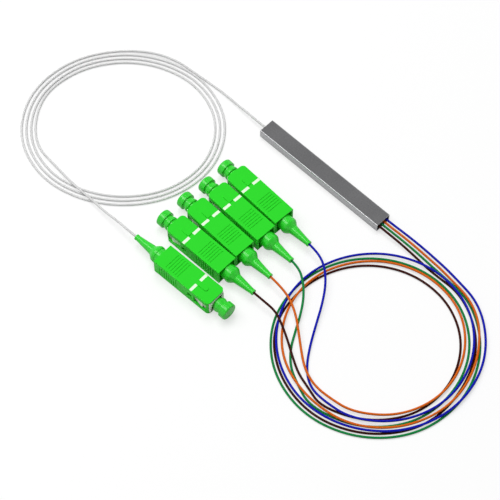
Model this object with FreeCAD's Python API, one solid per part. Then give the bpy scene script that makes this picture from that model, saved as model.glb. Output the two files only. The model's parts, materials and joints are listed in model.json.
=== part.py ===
import FreeCAD, Part
import math
import os

# Fibre splitter, one input and four outputs, in millimetres.
# Origin under the middle of the steel sleeve, +X towards its output end, +Z up.
# Everything lies on the plane z = 0.

# Steel sleeve of the splitter module
sleeve_length = 60.0
sleeve_width = 7.0
sleeve_height = 4.0
sleeve_wall = 0.4
sleeve_edge_radius = 0.5
seal_recess = 0.8
seal_length = 6.0
seal_clearance = 0.02
smallest_radius = 0.1

# Glass parts inside the sleeve, bonded end to end
chip_length = 12.0
fibre_block_length = 6.0
fibre_array_length = 8.0
array_step_length = 3.2
glass_width = 2.5
glass_height = 2.4
bare_fibre_diameter = 0.25
ribbon_width = 1.1
ribbon_thickness = 0.3

# Cords
cord_diameter = 0.9
exit_pitch = 1.35
cord_grip = 1.8
arc_share = 0.45

# Push-pull grip of a connector
grip_length = 26.8
grip_width = 9.0
grip_height = 7.4
grip_side_wall = 0.7
grip_top_wall = 0.4
grip_edge_radius = 0.3
grip_corner_radius = 1.8
grip_cavity_radius = 0.6
grip_travel = 1.6
grip_stop_gap = 0.4
groove_count = 6
side_groove_extra = 2
groove_start = 5.15
groove_pitch = 1.16
groove_width = 0.5
groove_depth = 0.22
groove_inset = 1.2
side_groove_inset = 0.9
mark_start = 17.4
mark_length = 1.15
mark_inner = 1.0
mark_depth = 0.06
key_width = 1.9
key_length = 4.05
key_height = 0.35
key_root = 0.2
window_start = 19.5
window_height = 3.8
notch_start = 16.5
notch_length = 2.1
notch_height = 2.0

# Plug frame inside the grip
slide_clearance = 0.2
frame_rear = 9.2
frame_front = 27.0
frame_edge_radius = 0.4
frame_mouth_diameter = 5.2
frame_mouth_depth = 6.4
shoulder_thickness = 0.7
shoulder_hole = 3.2
spring_chamber_diameter = 4.6
catch_length = 3.6
catch_ramp = 2.7
catch_height = 0.65
catch_gap = 0.3
catch_start_gap = 0.6
catch_root = 0.3
latch_seat_length = 1.1
latch_seat_depth = 0.5
slot_margin = 0.25

# Ferrule, its collar and its spring
ferrule_diameter = 2.5
ferrule_proud = 0.6
ferrule_chamfer = 0.35
ferrule_angle = 8.0
ferrule_grip = 1.5
ferrule_travel = 0.9
collar_diameter = 4.2
collar_length = 2.5
collar_tube_diameter = 2.0
collar_tube_length = 4.8
collar_bore = 0.9
fit_clearance = 0.02
spring_diameter = 3.9
spring_wire = 0.4
spring_turns = 6
spring_steps = 8

# Rear body that closes the plug frame and carries the boot
rear_body_insert = 2.0
rear_body_flange = 1.3
rear_body_flange_diameter = 5.6
spigot_diameter = 3.4
spigot_length = 9.0
running_clearance = 0.2

# Boot
boot_base_diameter = 6.2
boot_front = 5.0
boot_base_rear = 1.9
boot_bell_diameter = 6.6
boot_bell_length = 1.2
boot_shoulder_radius = 1.2
boot_neck_radius = 3.0
boot_shoulder_angle = 55.0
boot_taper_angle = 3.7
boot_tail = 13.3
boot_tip_bore_length = 4.0

# Dust cap, its neck clear of the plug frame when the ferrule is pushed back
cap_skirt_diameter = 4.6
cap_neck_diameter = 5.8
cap_head_diameter = 6.6
cap_skirt_length = 3.25
cap_neck_gap = 0.15
cap_neck_length = 2.45
cap_head_length = 2.7
cap_head_round = 0.6
cap_bore_clearance = 0.03
cap_bore_floor = 1.0

# Where each connector lies: rear face on its axis (x, y) and the way its front points.
# The four outputs lie side by side, the input lies apart and faces the other way.
connectors = {
    "blue": (4.15, -25.78, 177.51),
    "green": (4.39, -35.47, 178.40),
    "orange": (3.50, -45.66, 178.54),
    "brown": (3.80, -55.13, 180.99),
    "input": (-16.50, -67.90, 2.04),
}
exit_order = {"blue": 1.5, "orange": 0.5, "green": -0.5, "brown": -1.5}

# Coils: centre, height, and the inner and outer radius at every 30 degrees
input_coil = {
    "centre": (-69.25, -37.87),
    "height": 0.9,
    "outer": (37.0, 39.3, 39.4, 38.9, 37.1, 37.9, 39.4, 40.4, 38.7, 35.8, 34.3, 34.7),
    "inner": (32.3, 34.4, 34.3, 32.4, 31.1, 31.3, 33.0, 33.7, 31.9, 29.5, 29.7, 29.9),
}
output_coil = {
    "centre": (58.34, -36.48),
    "height": 1.8,
    "outer": (39.9, 40.6, 40.6, 39.4, 34.6, 33.9, 34.6, 36.2, 37.9, 39.4, 39.7, 39.9),
    "inner": (31.2, 30.8, 29.6, 28.2, 27.9, 28.4, 30.2, 31.2, 31.0, 28.5, 29.7, 30.9),
}

# Routes of the loose stretches, from the module into the coils.
# The first two points of each are worked out from the module, so they aren't listed.
start_routes = {
    "input": [(-39.6, 0.25, 1.6), (-47.4, 0.55, 1.0), (-55.0, 0.85, 0.5), (-62.6, 0.3, 0.5)],
    "blue": [(39.4, 2.45, 1.7), (47.0, 2.75, 1.15), (54.2, 2.6, 0.8), (61.4, 2.1, 0.8)],
    "orange": [(39.0, 1.0, 1.7), (45.8, 1.15, 1.2), (52.2, 1.05, 0.8), (58.6, 0.7, 0.95)],
    "green": [(38.8, -0.45, 1.7), (45.3, -0.3, 1.2), (51.4, -0.45, 0.8), (57.6, -0.75, 0.7)],
    "brown": [(38.6, -1.85, 1.7), (44.4, -1.85, 1.2), (50.1, -2.05, 0.8), (55.8, -2.5, 0.7)],
}
module_exit_run = 4.0

# Routes from the coils to the boots.
# The last two points of each lie on the boot's axis and are worked out from it.
end_routes = {
    "input": [(-73.3, -67.4, 0.6), (-67.6, -68.1, 1.3), (-61.0, -68.4, 1.6),
              (-53.8, -68.2, 1.65), (-46.8, -68.6, 2.2), (-40.3, -68.3, 3.0)],
    "blue": [(61.8, -67.5, 1.05), (55.3, -66.3, 0.6), (49.9, -62.0, 0.55), (45.3, -55.4, 0.8),
             (41.2, -48.0, 1.3), (37.3, -40.6, 2.1), (33.0, -34.1, 2.75), (27.6, -28.9, 3.0)],
    "green": [(51.0, -68.5, 0.5), (45.4, -65.5, 0.5), (40.9, -60.7, 0.5), (37.6, -54.9, 0.65),
              (34.6, -49.1, 1.5), (31.2, -43.8, 2.5), (26.7, -39.2, 2.95)],
    "orange": [(62.8, -65.4, 1.35), (56.4, -65.4, 1.5), (50.3, -63.3, 1.8), (44.7, -59.2, 1.85),
               (39.3, -54.8, 2.1), (33.7, -50.4, 2.7), (27.7, -47.3, 3.0)],
    "brown": [(55.2, -67.3, 0.9), (49.5, -65.8, 1.0), (44.0, -62.9, 1.6), (38.6, -59.7, 2.2),
              (33.2, -56.9, 2.75), (27.6, -54.5, 3.0)],
}
boot_exit_run = {"input": 6.0, "blue": 6.0, "green": 5.4, "orange": 5.9, "brown": 5.8}

# How far a cut runs past the face it opens
overshoot = 1.0

# Sizes that follow from those above
sleeve_inner_width = sleeve_width - 2 * sleeve_wall
sleeve_inner_height = sleeve_height - 2 * sleeve_wall
seal_outer_face = sleeve_length / 2 - seal_recess
seal_inner_face = seal_outer_face - seal_length
glass_total = fibre_block_length + chip_length + fibre_array_length
glass_start = -glass_total / 2
chip_start = glass_start + fibre_block_length
array_start = chip_start + chip_length
array_end = array_start + fibre_array_length
glass_axis = sleeve_wall + glass_height / 2
axis_height = grip_height / 2
cavity_width = grip_width - 2 * grip_side_wall
cavity_height = grip_height - 2 * grip_top_wall
frame_width = cavity_width - 2 * slide_clearance
frame_height = cavity_height - 2 * slide_clearance
catch_start = window_start + catch_start_gap
catch_end = catch_start + catch_length
window_end = catch_end + grip_travel + grip_stop_gap
shoulder_front = frame_front - frame_mouth_depth
shoulder_rear = shoulder_front - shoulder_thickness
collar_front = shoulder_rear
collar_rear = collar_front - collar_length
spring_rear = frame_rear + rear_body_insert
spring_length = collar_rear - spring_rear
ferrule_tip = frame_front + ferrule_proud
ferrule_rear = collar_front - ferrule_grip
flange_rear = frame_rear - rear_body_flange
spigot_rear = flange_rear - spigot_length
cap_neck_start = frame_front + ferrule_travel + cap_neck_gap
cap_skirt_start = cap_neck_start - cap_skirt_length
cap_head_start = cap_neck_start + cap_neck_length
cap_end = cap_head_start + cap_head_length
cap_bore_end = ferrule_tip + cap_bore_floor


def box(x0, x1, y0, y1, z0, z1):
    return Part.makeBox(x1 - x0, y1 - y0, z1 - z0, FreeCAD.Vector(x0, y0, z0))


def rounded_bar(x0, x1, width, height, mid_height, radius):
    """Bar along X with a rounded rectangular section."""
    y = width / 2
    z = height / 2
    diagonal = radius * (1 - math.sqrt(0.5))
    corners = [(1, 1), (-1, 1), (-1, -1), (1, -1)]
    edges = []
    tips = []
    for side, up in corners:
        along_y = FreeCAD.Vector(x0, side * (y - radius), mid_height + up * z)
        along_z = FreeCAD.Vector(x0, side * y, mid_height + up * (z - radius))
        middle = FreeCAD.Vector(x0, side * (y - diagonal), mid_height + up * (z - diagonal))
        first, last = (along_z, along_y) if side == up else (along_y, along_z)
        edges.append(Part.Arc(first, middle, last).toShape())
        tips.append((first, last))
    for index in range(len(corners)):
        start = tips[index][1]
        end = tips[(index + 1) % len(corners)][0]
        edges.append(Part.LineSegment(start, end).toShape())
    face = Part.Face(Part.Wire(Part.__sortEdges__(edges)))
    return face.extrude(FreeCAD.Vector(x1 - x0, 0, 0))


def turned(outline, curves=None):
    """Solid of revolution about a connector's axis.

    outline holds (place along the axis, radius) points, and curves gives the middle point
    of the arc that follows a point where that stretch is round.
    """
    curves = curves or {}
    points = [FreeCAD.Vector(along, 0, radius) for along, radius in outline]
    edges = []
    for index, start in enumerate(points):
        end = points[(index + 1) % len(points)]
        if index in curves:
            along, radius = curves[index]
            edges.append(Part.Arc(start, FreeCAD.Vector(along, 0, radius), end).toShape())
        else:
            edges.append(Part.LineSegment(start, end).toShape())
    face = Part.Face(Part.Wire(edges))
    solid = face.revolve(FreeCAD.Vector(0, 0, 0), FreeCAD.Vector(1, 0, 0), 360)
    solid.translate(FreeCAD.Vector(0, 0, axis_height))
    return solid


def steel_sleeve():
    half = sleeve_length / 2
    middle = sleeve_height / 2
    outer = rounded_bar(-half, half, sleeve_width, sleeve_height, middle, sleeve_edge_radius)
    inner_radius = max(sleeve_edge_radius - sleeve_wall, smallest_radius)
    inner = rounded_bar(-half - overshoot, half + overshoot, sleeve_inner_width,
                        sleeve_inner_height, middle, inner_radius)
    return outer.cut(inner)


def end_seal(side):
    """Resin that closes an end of the sleeve, a little inside its edge."""
    x0, x1 = sorted((side * seal_outer_face, side * seal_inner_face))
    width = sleeve_inner_width - 2 * seal_clearance
    height = sleeve_inner_height - 2 * seal_clearance
    return rounded_bar(x0, x1, width, height, sleeve_height / 2, smallest_radius)


def glass_block(start, length):
    y = glass_width / 2
    return box(start, start + length, -y, y, sleeve_wall, sleeve_wall + glass_height)


def fibre_array():
    """Block that holds the four output fibres, stepped down behind the bonded end."""
    block = glass_block(array_start, fibre_array_length)
    y = glass_width / 2
    step = box(array_end - array_step_length, array_end, -y, y,
               glass_axis + ribbon_thickness / 2, sleeve_wall + glass_height)
    return block.cut(step)


def bare_fibre():
    length = glass_start + seal_inner_face
    start = FreeCAD.Vector(-seal_inner_face, 0, glass_axis)
    return Part.makeCylinder(bare_fibre_diameter / 2, length, start, FreeCAD.Vector(1, 0, 0))


def fibre_ribbon():
    y = ribbon_width / 2
    return box(array_end, seal_inner_face, -y, y,
               glass_axis - ribbon_thickness / 2, glass_axis + ribbon_thickness / 2)


def grip_body():
    """Outside of the grip: long edges rounded, front corners rounded in plan."""
    bar = rounded_bar(0, grip_length, grip_width, grip_height, axis_height, grip_edge_radius)
    y = grip_width / 2
    front = grip_length - grip_corner_radius
    plan = box(0, front, -y, y, 0, grip_height)
    nose = box(front, grip_length, -y + grip_corner_radius, y - grip_corner_radius,
               0, grip_height)
    plan = plan.fuse(nose)
    for side in (-1, 1):
        corner = FreeCAD.Vector(front, side * (y - grip_corner_radius), 0)
        plan = plan.fuse(Part.makeCylinder(grip_corner_radius, grip_height, corner))
    return bar.common(plan.removeSplitter())


def grip_grooves():
    """Finger grooves across the broad faces and the narrow ones."""
    cuts = []
    y = grip_width / 2
    for index in range(-side_groove_extra, groove_count):
        x0 = groove_start + index * groove_pitch - groove_width / 2
        x1 = x0 + groove_width
        for side in (-1, 1):
            inner, outer = sorted((side * (y - groove_depth), side * (y + overshoot)))
            cuts.append(box(x0, x1, inner, outer, side_groove_inset,
                            grip_height - side_groove_inset))
        if index >= 0:
            reach = y - groove_inset
            cuts.append(box(x0, x1, -reach, reach, grip_height - groove_depth,
                            grip_height + overshoot))
            cuts.append(box(x0, x1, -reach, reach, -overshoot, groove_depth))
    return cuts


def grip_marks():
    """Shallow beds of the two white insertion marks."""
    y = grip_width / 2
    beds = []
    for side in (-1, 1):
        inner, outer = sorted((side * mark_inner, side * y))
        beds.append(box(mark_start, mark_start + mark_length, inner, outer,
                        grip_height - mark_depth, grip_height + overshoot))
    return beds


def grip_key():
    """Key rib on the top face with a round front end."""
    start = mark_start + mark_length
    round_x = start + key_length - key_width / 2
    bottom = grip_height - key_root
    height = key_height + key_root
    rib = box(start, round_x, -key_width / 2, key_width / 2, bottom, bottom + height)
    end = Part.makeCylinder(key_width / 2, height, FreeCAD.Vector(round_x, 0, bottom))
    return rib.fuse(end)


def grip():
    """Push-pull grip: a tube open at both ends with two windows and two small notches."""
    cavity = rounded_bar(-overshoot, grip_length + overshoot, cavity_width, cavity_height,
                         axis_height, grip_cavity_radius)
    y = grip_width
    half_window = window_height / 2
    window = box(window_start, window_end, -y, y,
                 axis_height - half_window, axis_height + half_window)
    half_notch = notch_height / 2
    notch = box(notch_start, notch_start + notch_length, -y, y,
                axis_height - half_notch, axis_height + half_notch)
    body = grip_body().fuse(grip_key())
    for cut in [cavity, window, notch] + grip_grooves() + grip_marks():
        body = body.cut(cut)
    return body.removeSplitter()


def frame_catch(side):
    """Ramp on the side of the plug frame that shows through the grip's window."""
    root = frame_width / 2
    top = root + catch_height
    ramp_end = catch_start + catch_ramp
    half = window_height / 2 - catch_gap
    outline = [(catch_start, root - catch_root), (catch_start, root), (ramp_end, top),
               (catch_end, top), (catch_end, root - catch_root)]
    points = [FreeCAD.Vector(x, side * y, axis_height - half) for x, y in outline]
    points.append(points[0])
    face = Part.Face(Part.makePolygon(points))
    return face.extrude(FreeCAD.Vector(0, 0, 2 * half))


def plug_frame():
    """Inner body of the plug: mouth, shoulder, spring chamber, catches and latch seats."""
    body = rounded_bar(frame_rear, frame_front, frame_width, frame_height, axis_height,
                       frame_edge_radius)
    for side in (-1, 1):
        body = body.fuse(frame_catch(side))
    mouth = frame_mouth_diameter / 2
    hole = shoulder_hole / 2
    chamber = spring_chamber_diameter / 2
    bore = turned([
        (frame_rear - overshoot, 0), (frame_rear - overshoot, chamber),
        (shoulder_rear, chamber), (shoulder_rear, hole), (shoulder_front, hole),
        (shoulder_front, mouth), (frame_front + overshoot, mouth),
        (frame_front + overshoot, 0),
    ])
    body = body.cut(bore)
    half_slot = notch_height / 2
    body = body.cut(box(notch_start - slot_margin, notch_start + notch_length + slot_margin,
                        -frame_width, frame_width, axis_height - half_slot,
                        axis_height + half_slot))
    half_seat = window_height / 2 - catch_gap
    seat_floor = frame_width / 2 - latch_seat_depth
    for side in (-1, 1):
        inner, outer = sorted((side * seat_floor, side * frame_width))
        body = body.cut(box(catch_end, catch_end + latch_seat_length, inner, outer,
                            axis_height - half_seat, axis_height + half_seat))
    return body


def ferrule():
    """Ceramic ferrule, its end face ground at a slant."""
    radius = ferrule_diameter / 2
    rod = turned([
        (ferrule_rear, 0), (ferrule_rear, radius), (ferrule_tip - ferrule_chamfer, radius),
        (ferrule_tip, radius - ferrule_chamfer), (ferrule_tip, 0),
    ])
    slant = box(0, ferrule_diameter, -ferrule_diameter, ferrule_diameter,
                -ferrule_diameter, ferrule_diameter)
    slant.rotate(FreeCAD.Vector(0, 0, 0), FreeCAD.Vector(0, 1, 0), -ferrule_angle)
    drop = (radius - ferrule_chamfer) * math.tan(math.radians(ferrule_angle))
    slant.translate(FreeCAD.Vector(ferrule_tip - drop, 0, axis_height))
    return rod.cut(slant)


def ferrule_collar():
    """Metal collar pressed round the ferrule, with the tube that guides the fibre."""
    bore = ferrule_diameter / 2 + fit_clearance
    outer = collar_diameter / 2
    tube = collar_tube_diameter / 2
    hole = collar_bore / 2
    tube_end = collar_rear - collar_tube_length
    return turned([
        (tube_end, hole), (tube_end, tube), (collar_rear, tube), (collar_rear, outer),
        (collar_front, outer), (collar_front, bore), (ferrule_rear, bore), (ferrule_rear, hole),
    ])


def ferrule_spring():
    """Compression spring of square wire, drawn with flat-sided turns."""
    mid = spring_diameter / 2 - spring_wire / 2
    half = spring_wire / 2
    rise = (spring_length - spring_wire) / (spring_turns * spring_steps)
    sections = []
    for step in range(spring_turns * spring_steps + 1):
        angle = 2 * math.pi * step / spring_steps
        x = spring_rear + half + rise * step
        ring = []
        for out, along in ((-1, -1), (1, -1), (1, 1), (-1, 1)):
            radius = mid + out * half
            ring.append(FreeCAD.Vector(x + along * half, radius * math.cos(angle),
                                       axis_height + radius * math.sin(angle)))
        sections.append(ring)
    faces = []

    def add_face(corners):
        faces.append(Part.Face(Part.makePolygon(corners + [corners[0]])))

    for near, far in zip(sections, sections[1:]):
        for index in range(len(near)):
            following = (index + 1) % len(near)
            add_face([near[index], near[following], far[following]])
            add_face([near[index], far[following], far[index]])
    add_face(sections[0])
    add_face(sections[-1])
    solid = Part.makeSolid(Part.makeShell(faces))
    if solid.Volume < 0:
        solid.reverse()
    return solid


def rear_body():
    """Body pushed into the back of the plug frame, with a spigot for the boot."""
    insert = spring_chamber_diameter / 2 - fit_clearance
    flange = rear_body_flange_diameter / 2
    spigot = spigot_diameter / 2
    wide = collar_tube_diameter / 2 + running_clearance
    narrow = cord_diameter / 2 + fit_clearance
    return turned([
        (spring_rear, wide), (spring_rear, insert), (frame_rear, insert),
        (frame_rear, flange), (flange_rear, flange), (flange_rear, spigot),
        (spigot_rear, spigot), (spigot_rear, narrow), (flange_rear, narrow), (flange_rear, wide),
    ])


def boot():
    """Bend boot: a sleeve over the spigot, a wider bell behind the grip and a long taper."""
    base = boot_base_diameter / 2
    bell = boot_bell_diameter / 2
    shoulder = math.radians(boot_shoulder_angle)
    taper = math.radians(boot_taper_angle)
    step_x = -boot_base_rear
    bell_x = step_x - boot_bell_length
    turn_x = bell_x - boot_shoulder_radius * math.sin(shoulder)
    turn_r = bell - boot_shoulder_radius * (1 - math.cos(shoulder))
    neck_x = turn_x - boot_neck_radius * (math.sin(shoulder) - math.sin(taper))
    neck_r = turn_r - boot_neck_radius * (math.cos(taper) - math.cos(shoulder))
    tip_r = neck_r - (boot_tail + neck_x) * math.tan(taper)
    half = shoulder / 2
    bell_mid = (bell_x - boot_shoulder_radius * math.sin(half),
                bell - boot_shoulder_radius * (1 - math.cos(half)))
    between = (shoulder + taper) / 2
    neck_mid = (turn_x - boot_neck_radius * (math.sin(shoulder) - math.sin(between)),
                turn_r - boot_neck_radius * (math.cos(between) - math.cos(shoulder)))
    seat = spigot_diameter / 2 + fit_clearance
    tip_bore = cord_diameter / 2
    bore_start = -boot_tail + boot_tip_bore_length
    return turned([
        (boot_front, seat), (boot_front, base), (step_x, base), (step_x, bell), (bell_x, bell),
        (turn_x, turn_r), (neck_x, neck_r), (-boot_tail, tip_r), (-boot_tail, tip_bore),
        (bore_start, tip_bore), (spigot_rear, cord_diameter / 2 + running_clearance),
        (spigot_rear, seat),
    ], {4: bell_mid, 5: neck_mid})


def dust_cap():
    """Cap on the ferrule: thin skirt in the frame's mouth, neck and wider head."""
    bore = ferrule_diameter / 2 + cap_bore_clearance
    skirt = cap_skirt_diameter / 2
    neck = cap_neck_diameter / 2
    head = cap_head_diameter / 2
    round_mid = cap_head_round * (1 - math.sqrt(0.5))
    return turned([
        (cap_skirt_start, bore), (cap_skirt_start, skirt), (cap_neck_start, skirt),
        (cap_neck_start, neck), (cap_head_start, neck), (cap_head_start, head),
        (cap_end - cap_head_round, head), (cap_end, head - cap_head_round), (cap_end, 0),
        (cap_bore_end, 0), (cap_bore_end, bore),
    ], {6: (cap_end - round_mid, head - round_mid)})


def placed(shape, name):
    """Puts a connector piece where that connector lies."""
    x, y, angle = connectors[name]
    shape = shape.copy()
    shape.rotate(FreeCAD.Vector(0, 0, 0), FreeCAD.Vector(0, 0, 1), angle)
    shape.translate(FreeCAD.Vector(x, y, 0))
    return shape


def on_axis(name, along):
    """Point on a connector's axis, given from its rear face."""
    x, y, angle = connectors[name]
    turn = math.radians(angle)
    return (x + along * math.cos(turn), y + along * math.sin(turn), axis_height)


def cord_tube(name, route):
    """Cord along straight runs joined by tangent arcs, as large as the runs allow."""
    points = [FreeCAD.Vector(*point) for point in route]
    edges = []
    radii = []
    last = points[0]
    for before, corner, after in zip(points, points[1:], points[2:]):
        back = (before - corner).normalize()
        ahead = (after - corner).normalize()
        half_turn = (math.pi - back.getAngle(ahead)) / 2
        shorter = min((before - corner).Length, (after - corner).Length)
        reach = arc_share * shorter
        radius = reach / math.tan(half_turn)
        inward = (back + ahead).normalize()
        middle = corner + inward * (radius / math.cos(half_turn) - radius)
        start = corner + back * reach
        end = corner + ahead * reach
        edges.append(Part.LineSegment(last, start).toShape())
        edges.append(Part.Arc(start, middle, end).toShape())
        radii.append(round(radius, 1))
        last = end
    edges.append(Part.LineSegment(last, points[-1]).toShape())
    path = Part.Wire(edges)
    along = points[1] - points[0]
    section = Part.Wire(Part.makeCircle(cord_diameter / 2, points[0], along))
    tube = path.makePipeShell([section], True, True)
    expected = math.pi * cord_diameter ** 2 / 4 * path.Length
    print(name, "length", round(path.Length, 1), "radii", radii,
          "volume over section times length", round(tube.Volume / expected, 4))
    return tube


def closed_curve(centre, radii):
    points = []
    for index, radius in enumerate(radii):
        angle = 2 * math.pi * index / len(radii)
        points.append(FreeCAD.Vector(centre[0] + radius * math.cos(angle),
                                     centre[1] + radius * math.sin(angle), 0))
    curve = Part.BSplineCurve()
    curve.interpolate(points, PeriodicFlag=True)
    return Part.Face(Part.Wire(curve.toShape()))


def coil_solid(coil):
    """Outer shape of a coil of cord that lies flat."""
    up = FreeCAD.Vector(0, 0, coil["height"])
    outer = closed_curve(coil["centre"], coil["outer"]).extrude(up)
    inner = closed_curve(coil["centre"], coil["inner"]).extrude(up)
    return outer.cut(inner)


def module_exit(name, run):
    """Point on the line along which a cord leaves the module."""
    x = seal_outer_face + run
    if name == "input":
        return (-x, 0.0, sleeve_height / 2)
    return (x, exit_order[name] * exit_pitch, sleeve_height / 2)


def start_cord(name):
    leaving = [module_exit(name, 0.0), module_exit(name, module_exit_run)]
    return cord_tube(name + "_cord_start", leaving + start_routes[name])


def end_cord(name):
    inside = on_axis(name, cord_grip - boot_tail)
    outside = on_axis(name, cord_grip - boot_tail - boot_exit_run[name])
    return cord_tube(name + "_cord_end", end_routes[name] + [outside, inside])


def build():
    pieces = {
        "steel_sleeve": steel_sleeve(),
        "input_seal": end_seal(-1),
        "output_seal": end_seal(1),
        "input_fibre_block": glass_block(glass_start, fibre_block_length),
        "splitter_chip": glass_block(chip_start, chip_length),
        "output_fibre_array": fibre_array(),
        "input_bare_fibre": bare_fibre(),
        "output_fibre_ribbon": fibre_ribbon(),
        "input_coil": coil_solid(input_coil),
        "output_coil": coil_solid(output_coil),
    }
    connector_pieces = {
        "grip": grip(),
        "plug_frame": plug_frame(),
        "ferrule": ferrule(),
        "ferrule_collar": ferrule_collar(),
        "ferrule_spring": ferrule_spring(),
        "rear_body": rear_body(),
        "boot": boot(),
        "dust_cap": dust_cap(),
    }
    for name in connectors:
        for piece, shape in connector_pieces.items():
            pieces[name + "_" + piece] = placed(shape, name)
        pieces[name + "_cord_start"] = start_cord(name)
        pieces[name + "_cord_end"] = end_cord(name)
    return pieces


def main():
    os.makedirs("parts", exist_ok=True)
    for name, shape in build().items():
        if not shape.isValid() or len(shape.Solids) != 1:
            print("check", name, shape.isValid(), len(shape.Solids))
        shape.exportStep("parts/" + name + ".step")


main()
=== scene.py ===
import json
import math

import bmesh
import bpy
from mathutils import Matrix, Vector

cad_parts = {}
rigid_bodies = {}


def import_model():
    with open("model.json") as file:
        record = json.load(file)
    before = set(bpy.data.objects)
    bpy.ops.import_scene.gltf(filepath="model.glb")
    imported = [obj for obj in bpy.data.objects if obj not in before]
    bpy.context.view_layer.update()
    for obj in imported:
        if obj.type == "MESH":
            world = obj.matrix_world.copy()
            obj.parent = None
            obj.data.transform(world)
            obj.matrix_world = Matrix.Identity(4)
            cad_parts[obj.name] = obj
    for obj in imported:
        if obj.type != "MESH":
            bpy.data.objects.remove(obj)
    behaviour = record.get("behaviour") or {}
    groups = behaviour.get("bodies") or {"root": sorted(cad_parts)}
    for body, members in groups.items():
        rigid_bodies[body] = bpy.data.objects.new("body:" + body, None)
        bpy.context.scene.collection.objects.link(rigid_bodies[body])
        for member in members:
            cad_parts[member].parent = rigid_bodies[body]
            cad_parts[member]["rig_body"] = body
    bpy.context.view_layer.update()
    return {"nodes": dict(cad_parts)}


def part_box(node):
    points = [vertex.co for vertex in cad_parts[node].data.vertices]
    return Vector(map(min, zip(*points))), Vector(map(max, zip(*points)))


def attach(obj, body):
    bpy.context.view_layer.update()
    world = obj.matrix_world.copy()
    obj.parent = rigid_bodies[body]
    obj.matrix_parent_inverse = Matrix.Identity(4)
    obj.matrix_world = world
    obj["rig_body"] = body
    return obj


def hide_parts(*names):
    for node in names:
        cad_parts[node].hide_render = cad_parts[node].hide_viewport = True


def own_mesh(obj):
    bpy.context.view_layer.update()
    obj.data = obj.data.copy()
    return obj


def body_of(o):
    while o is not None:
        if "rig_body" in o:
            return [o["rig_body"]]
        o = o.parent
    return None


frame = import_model()

bl_info = {
    "name": "Fibre splitter with push-pull connectors",
    "version": (1, 0, 0),
    "blender": (4, 5, 0),
    "location": "View3D > Sidebar > Splitter",
    "description": "Dresses a one to four fibre splitter: steel module, cords and five connectors",
    "category": "Object",
}

# Lengths in the tables below are in millimetres and become metres where a mesh is made.
MM = 0.001

# Where each connector lies: the middle of its rear face (x, y), and the way its front points,
# in degrees.
CONNECTORS = {
    "blue": (4.15, -25.78, 177.51),
    "green": (4.39, -35.47, 178.40),
    "orange": (3.50, -45.66, 178.54),
    "brown": (3.80, -55.13, 180.99),
    "input": (-16.50, -67.90, 2.04),
}
AXIS_HEIGHT = 3.7
GRIP_TOP = 7.4
FLOOR_HEIGHT = -0.05

# The two marks on a grip: how far along it and to either side of its axis they lie, their length,
# width and thickness, and how far they stand proud of it.
MARK_ALONG = 17.975
MARK_ASIDE = 2.66
MARK_SIZE = (1.15, 3.32, 0.065)
MARK_PROUD = 0.005

# The spring behind a ferrule: where it starts along the connector's axis, its length at rest, the
# radius of its turns and of its wire, its turns, and the points of its line.
SPRING_SEAT = 11.2
SPRING_LENGTH = 6.2
SPRING_RADIUS = 1.75
SPRING_WIRE = 0.2
SPRING_TURNS = 6.0
SPRING_POINTS = 193

RIBBON_FIBRES = 4

# The points of each cord outside its coil, the same as the CAD's: two where it leaves the sleeve,
# its way to the coil, its way on from there, and two on the boot's axis. Those stand behind the
# connector's rear face by BOOT_END, and by the run more.
EXIT_X = (29.2, 33.2)
EXIT_HEIGHT = 2.0
EXIT_Y = {"blue": 2.025, "orange": 0.675, "green": -0.675, "brown": -2.025, "input": 0.0}
START_ROUTE = {
    "blue": ((39.4, 2.45, 1.7), (47.0, 2.75, 1.15), (54.2, 2.6, 0.8), (61.4, 2.1, 0.8)),
    "orange": ((39.0, 1.0, 1.7), (45.8, 1.15, 1.2), (52.2, 1.05, 0.8), (58.6, 0.7, 0.95)),
    "green": ((38.8, -0.45, 1.7), (45.3, -0.3, 1.2), (51.4, -0.45, 0.8), (57.6, -0.75, 0.7)),
    "brown": ((38.6, -1.85, 1.7), (44.4, -1.85, 1.2), (50.1, -2.05, 0.8), (55.8, -2.5, 0.7)),
    "input": ((-39.6, 0.25, 1.6), (-47.4, 0.55, 1.0), (-55.0, 0.85, 0.5), (-62.6, 0.3, 0.5)),
}
END_ROUTE = {
    "blue": (
        (61.8, -67.5, 1.05), (55.3, -66.3, 0.6), (49.9, -62.0, 0.55), (45.3, -55.4, 0.8),
        (41.2, -48.0, 1.3), (37.3, -40.6, 2.1), (33.0, -34.1, 2.75), (27.6, -28.9, 3.0),
    ),
    "orange": (
        (62.8, -65.4, 1.35), (56.4, -65.4, 1.5), (50.3, -63.3, 1.8), (44.7, -59.2, 1.85),
        (39.3, -54.8, 2.1), (33.7, -50.4, 2.7), (27.7, -47.3, 3.0),
    ),
    "green": (
        (51.0, -68.5, 0.5), (45.4, -65.5, 0.5), (40.9, -60.7, 0.5), (37.6, -54.9, 0.65),
        (34.6, -49.1, 1.5), (31.2, -43.8, 2.5), (26.7, -39.2, 2.95),
    ),
    "brown": (
        (55.2, -67.3, 0.9), (49.5, -65.8, 1.0), (44.0, -62.9, 1.6), (38.6, -59.7, 2.2),
        (33.2, -56.9, 2.75), (27.6, -54.5, 3.0),
    ),
    "input": (
        (-73.3, -67.4, 0.6), (-67.6, -68.1, 1.3), (-61.0, -68.4, 1.6), (-53.8, -68.2, 1.65),
        (-46.8, -68.6, 2.2), (-40.3, -68.3, 3.0),
    ),
}
BOOT_EXIT_RUN = {"blue": 6.0, "orange": 5.9, "green": 5.4, "brown": 5.8, "input": 6.0}
BOOT_END = 11.5

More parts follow.
